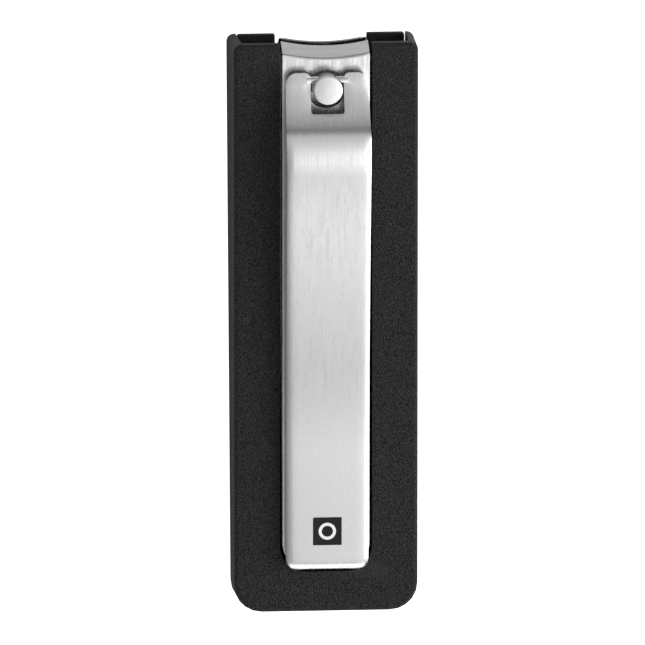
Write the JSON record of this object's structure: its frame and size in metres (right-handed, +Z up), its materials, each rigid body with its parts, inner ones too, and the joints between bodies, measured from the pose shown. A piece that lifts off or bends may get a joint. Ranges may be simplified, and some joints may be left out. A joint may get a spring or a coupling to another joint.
{
  "type": "nail clipper",
  "caption": "Lever nail clipper in a wedge-shaped catcher housing: two bladed steel leaves, pivot pin, swivelling forked lever and an inset back cover.",
  "frame": {"origin": "middle of the flat back of the housing, on the plane it lies on", "axes": "+Y towards the jaws, +Z up out of the front face, +X across to the right seen from the front"},
  "size_m": [0.0226, 0.07, 0.0144],
  "materials": {
    "housing_plastic": "fine spark-eroded grain",
    "cover_plastic": "fine spark-eroded grain",
    "leaf_steel": "satin, ground lengthwise",
    "pin_steel": "fine turned, polished edge",
    "lever_steel": "brushed lengthwise, polished rim"
  },
  "bodies": {
    "case": {"catcher_body": "housing_plastic", "back_cover": "cover_plastic", "lower_leaf": "leaf_steel", "leaf_rivet_left": "pin_steel", "leaf_rivet_right": "pin_steel"},
    "upper_leaf": {"upper_leaf": "leaf_steel"},
    "pin": {"pivot_pin": "pin_steel"},
    "lever": {"lever": "lever_steel"}
  },
  "joints": [
    {"name": "leaf_squeeze", "type": "hinge", "parent": "case", "child": "upper_leaf", "pos_m": [0, -0.02439, 0.0045], "axis": [-1, 0, 0], "range_deg": [0, 2.3], "stiffness_Nm_per_rad": 15},
    {"name": "pin_turn", "type": "hinge", "parent": "case", "child": "pin", "pos_m": [0, 0.02976, 0.01128], "axis": [0, -0.0112, 0.9999], "continuous": true},
    {"name": "lever_tilt", "type": "hinge", "parent": "pin", "child": "lever", "pos_m": [0, 0.0308, 0.01135], "axis": [-1, 0, 0], "range_deg": [0, 164]}
  ]
}
